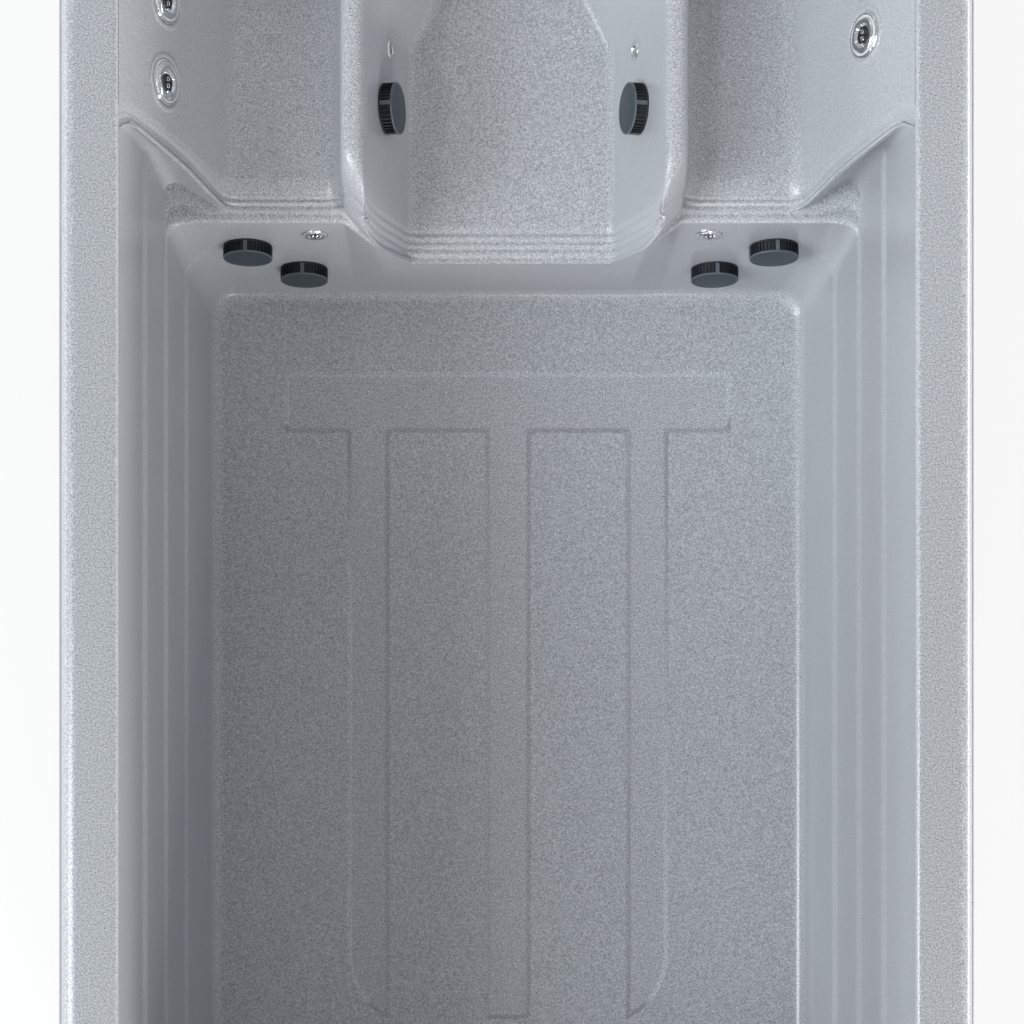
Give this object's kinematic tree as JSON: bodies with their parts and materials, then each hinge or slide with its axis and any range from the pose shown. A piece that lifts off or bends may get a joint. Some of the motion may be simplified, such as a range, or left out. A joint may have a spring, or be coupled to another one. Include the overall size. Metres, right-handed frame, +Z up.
{
  "type": "swim spa",
  "caption": "Long rectangular acrylic swim spa: stepped swim basin with jets at one end, two seats and a middle platform at the other, on a steel frame in a plank-clad cabinet.",
  "frame": {"origin": "on the ground under the middle of the spa", "axes": "+Z up; +Y along the spa towards the seats, -Y towards the swim jets; +X to the right of a swimmer who faces the seats"},
  "size_m": [2.28, 4.03, 1.32],
  "materials": {
    "base_plastic": "rough moulded base",
    "black_trim": "fine grained dark plastic",
    "button_rubber": "soft rubber",
    "cabinet_planks": "wood-grained composite planks",
    "chrome": "polished",
    "dark_plastic": "satin moulded plastic",
    "galvanised_steel": "dull zinc coating",
    "grey_acrylic": "speckled gloss acrylic",
    "light_lens": "clear polycarbonate lens",
    "motor_paint": "dark paint",
    "white_pipe": "plain pipe",
    "white_plastic": "smooth moulded plastic"
  },
  "bodies": {
    "spa": {"base_pan": "base_plastic", "control_box": "motor_paint", "control_panel": "black_trim", "corner_post_seat_left": "black_trim", "corner_post_seat_right": "black_trim", "corner_post_swim_left": "black_trim", "corner_post_swim_right": "black_trim", "end_panel_swim": "cabinet_planks", "floor_cradle": "galvanised_steel", "floor_drain": "white_plastic", "footwell_return_left": "chrome", "footwell_return_right": "chrome", "frame_left": "galvanised_steel", "frame_right": "galvanised_steel", "frame_seat_end": "galvanised_steel", "frame_swim_end": "galvanised_steel", "front_jet_left_body": "white_plastic", "front_jet_right_body": "white_plastic", "heater": "galvanised_steel", "jet_plumbing": "white_pipe", "jet_pump_left": "motor_paint", "jet_pump_right": "motor_paint", "lip_trim": "black_trim", "seat_jet_left_1_body": "white_plastic", "seat_jet_left_2_body": "white_plastic", "seat_jet_right_1_body": "white_plastic", "seat_jet_right_2_body": "white_plastic", "shell": "grey_acrylic", "side_panel_left_seat": "cabinet_planks", "side_panel_left_swim": "cabinet_planks", "side_panel_right_seat": "cabinet_planks", "side_panel_right_swim": "cabinet_planks", "skimmer_housing": "white_plastic", "suction_cover_footwell_left": "dark_plastic", "suction_cover_footwell_right": "dark_plastic", "suction_cover_front_left_inner": "dark_plastic", "suction_cover_front_left_outer": "dark_plastic", "suction_cover_front_right_inner": "dark_plastic", "suction_cover_front_right_outer": "dark_plastic", "swim_jet_socket_1": "dark_plastic", "swim_jet_socket_2": "dark_plastic", "swim_jet_socket_3": "dark_plastic", "underwater_light": "light_lens"},
    "seat_jet_face_left_1": {"seat_jet_left_1_face": "chrome"},
    "seat_jet_face_left_2": {"seat_jet_left_2_face": "chrome"},
    "front_jet_face_left": {"front_jet_left_face": "chrome"},
    "seat_jet_face_right_1": {"seat_jet_right_1_face": "chrome"},
    "seat_jet_face_right_2": {"seat_jet_right_2_face": "chrome"},
    "front_jet_face_right": {"front_jet_right_face": "chrome"},
    "swim_nozzle_1": {"swim_jet_nozzle_1": "chrome"},
    "swim_nozzle_2": {"swim_jet_nozzle_2": "chrome"},
    "swim_nozzle_3": {"swim_jet_nozzle_3": "chrome"},
    "weir": {"skimmer_weir": "dark_plastic"},
    "button_1": {"panel_button_1": "button_rubber"},
    "button_2": {"panel_button_2": "button_rubber"},
    "button_3": {"panel_button_3": "button_rubber"},
    "air_knob_left_body": {"air_knob_left": "chrome"},
    "air_knob_right_body": {"air_knob_right": "chrome"},
    "access_panel": {"access_panel_seat": "cabinet_planks"}
  },
  "joints": [
    {"name": "seat_jet_left_1_turn", "type": "hinge", "parent": "spa", "child": "seat_jet_face_left_1", "pos_m": [-0.89629, 1.328, 1.09997], "axis": [0.9149, 0, 0.4036], "range_deg": [0, 150]},
    {"name": "seat_jet_left_2_turn", "type": "hinge", "parent": "spa", "child": "seat_jet_face_left_2", "pos_m": [-0.89629, 1.539, 1.09997], "axis": [0.9149, 0, 0.4036], "range_deg": [0, 150]},
    {"name": "front_jet_left_turn", "type": "hinge", "parent": "spa", "child": "front_jet_face_left", "pos_m": [-0.54697, 1.01697, 0.70002], "axis": [0, -0.9903, 0.139], "range_deg": [0, 150]},
    {"name": "seat_jet_right_1_turn", "type": "hinge", "parent": "spa", "child": "seat_jet_face_right_1", "pos_m": [0.89629, 1.449, 1.09997], "axis": [-0.9149, 0, 0.4036], "range_deg": [0, 150]},
    {"name": "seat_jet_right_2_turn", "type": "hinge", "parent": "spa", "child": "seat_jet_face_right_2", "pos_m": [0.89629, 1.6, 1.09997], "axis": [-0.9149, 0, 0.4036], "range_deg": [0, 150]},
    {"name": "front_jet_right_turn", "type": "hinge", "parent": "spa", "child": "front_jet_face_right", "pos_m": [0.54697, 1.01697, 0.70002], "axis": [0, -0.9903, 0.139], "range_deg": [0, 150]},
    {"name": "swim_jet_1_tilt", "type": "hinge", "parent": "spa", "child": "swim_nozzle_1", "pos_m": [-0.42, -1.82766, 0.90853], "axis": [1, 0, 0], "range_deg": [-12, 12]},
    {"name": "swim_jet_2_tilt", "type": "hinge", "parent": "spa", "child": "swim_nozzle_2", "pos_m": [0, -1.82766, 0.90853], "axis": [1, 0, 0], "range_deg": [-12, 12]},
    {"name": "swim_jet_3_tilt", "type": "hinge", "parent": "spa", "child": "swim_nozzle_3", "pos_m": [0.42, -1.82766, 0.90853], "axis": [1, 0, 0], "range_deg": [-12, 12]},
    {"name": "skimmer_weir_swing", "type": "hinge", "parent": "spa", "child": "weir", "pos_m": [0.63997, -1.84584, 1.09553], "axis": [1, 0, 0], "range_deg": [0, 30], "stiffness_Nm_per_rad": 0.25, "springref_deg": -14.32},
    {"name": "panel_button_1_press", "type": "slide", "parent": "spa", "child": "button_1", "axis": [0, 0, -1], "range_m": [0, 0.0015], "stiffness_N_per_m": 800, "springref_m": -0.0008},
    {"name": "panel_button_2_press", "type": "slide", "parent": "spa", "child": "button_2", "axis": [0, 0, -1], "range_m": [0, 0.0015], "stiffness_N_per_m": 800, "springref_m": -0.0008},
    {"name": "panel_button_3_press", "type": "slide", "parent": "spa", "child": "button_3", "axis": [0, 0, -1], "range_m": [0, 0.0015], "stiffness_N_per_m": 800, "springref_m": -0.0008},
    {"name": "air_knob_left_turn", "type": "hinge", "parent": "spa", "child": "air_knob_left_body", "pos_m": [-0.42, 1.914, 1.3], "axis": [0, 0, 1], "range_deg": [0, 180]},
    {"name": "air_knob_right_turn", "type": "hinge", "parent": "spa", "child": "air_knob_right_body", "pos_m": [0.42, 1.914, 1.3], "axis": [0, 0, 1], "range_deg": [0, 180]},
    {"name": "access_panel_lift_off", "type": "slide", "parent": "spa", "child": "access_panel", "axis": [0, 1, 0], "range_m": [0, 0.3]}
  ]
}
